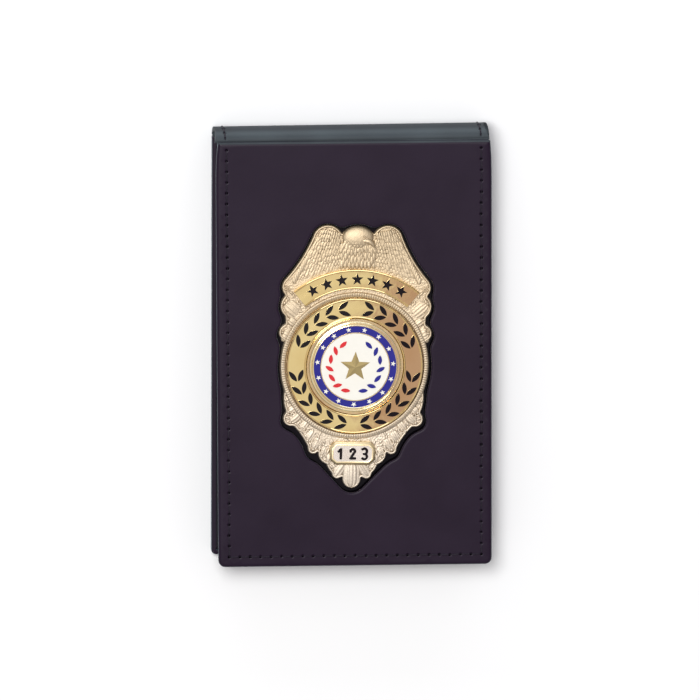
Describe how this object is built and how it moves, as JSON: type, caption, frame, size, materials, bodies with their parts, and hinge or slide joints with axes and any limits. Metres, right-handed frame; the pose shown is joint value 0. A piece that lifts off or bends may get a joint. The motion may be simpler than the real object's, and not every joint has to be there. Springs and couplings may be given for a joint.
{
  "type": "id badge wallet",
  "caption": "Folding leather wallet with a shield badge set into the front cover and a clear window pocket for an identity card inside each cover.",
  "frame": {"origin": "middle of the closed wallet's underside, where the back cover rests", "axes": "+X across the covers, +Y towards the fold, +Z out of the front cover with the badge"},
  "size_m": [0.074, 0.1192, 0.0163],
  "materials": {
    "black_leather": "smooth dyed leather, satin",
    "black_lining": "smooth thin lining leather, matt",
    "black_thread": "waxed polyester thread",
    "grey_board": "pressed fibre board",
    "clear_film": "clear flexible vinyl",
    "white_card": "plain white card stock",
    "pale_gold": "struck relief, pale gold plate, satin",
    "bright_gold": "polished gold plate",
    "black_enamel": "hard black enamel",
    "blue_enamel": "hard blue enamel",
    "red_enamel": "hard red enamel",
    "white_enamel": "hard white enamel",
    "steel": "nickel-plated steel"
  },
  "bodies": {
    "back_cover": {"back_leather": "black_leather", "back_board": "grey_board", "back_lining": "black_lining", "back_seam_thread": "black_thread", "back_window_frame": "black_leather", "back_window": "clear_film", "back_frame_thread": "black_thread"},
    "spine": {"spine_leather": "black_leather", "spine_lining": "black_lining", "spine_thread": "black_thread"},
    "front_cover": {"front_leather": "black_leather", "recess_board": "grey_board", "recess_floor": "black_lining", "pin_pocket_pad": "grey_board", "front_lining": "black_lining", "front_seam_thread": "black_thread", "front_window_frame": "black_leather", "front_window": "clear_film", "front_frame_thread": "black_thread", "badge_shell": "pale_gold", "ribbon_panel": "bright_gold", "ribbon_stars": "black_enamel", "ring_panel": "bright_gold", "ring_laurel": "black_enamel", "number_plate": "pale_gold", "number_digits": "black_enamel", "seal_disc": "bright_gold", "blue_enamel": "blue_enamel", "white_enamel": "white_enamel", "seal_stars": "white_enamel", "middle_star": "bright_gold", "red_leaves": "red_enamel", "blue_leaves": "blue_enamel", "hinge_bracket": "steel", "hinge_rivet": "steel", "catch_housing": "steel"},
    "pin": {"pin_stem": "steel"},
    "catch": {"catch_rotor": "steel"},
    "front_card": {"front_id_card": "white_card"},
    "back_card": {"back_id_card": "white_card"}
  },
  "joints": [
    {"name": "back_fold", "type": "hinge", "parent": "back_cover", "child": "spine", "pos_m": [0, 0.05701, 0.0006], "axis": [-1, 0, 0], "range_deg": [0, 90]},
    {"name": "front_fold", "type": "hinge", "parent": "spine", "child": "front_cover", "pos_m": [0, 0.05701, 0.01542], "axis": [-1, 0, 0], "range_deg": [0, 90]},
    {"name": "pin_swing", "type": "hinge", "parent": "front_cover", "child": "pin", "pos_m": [-0.01131, 0.00355, 0.01117], "axis": [0.0349, 0.9994, 0], "range_deg": [0, 4.4]},
    {"name": "catch_turn", "type": "hinge", "parent": "front_cover", "child": "catch", "pos_m": [0.01267, 0.00272, 0.01117], "axis": [0.9994, -0.0349, 0], "range_deg": [0, 70]},
    {"name": "front_card_slide", "type": "slide", "parent": "front_cover", "child": "front_card", "axis": [1, 0, 0], "range_m": [0, 0.062]},
    {"name": "back_card_slide", "type": "slide", "parent": "back_cover", "child": "back_card", "axis": [1, 0, 0], "range_m": [0, 0.062]}
  ],
  "couplings": [
    {"joint": "back_fold", "follows": "front_fold", "ratio": 1}
  ]
}
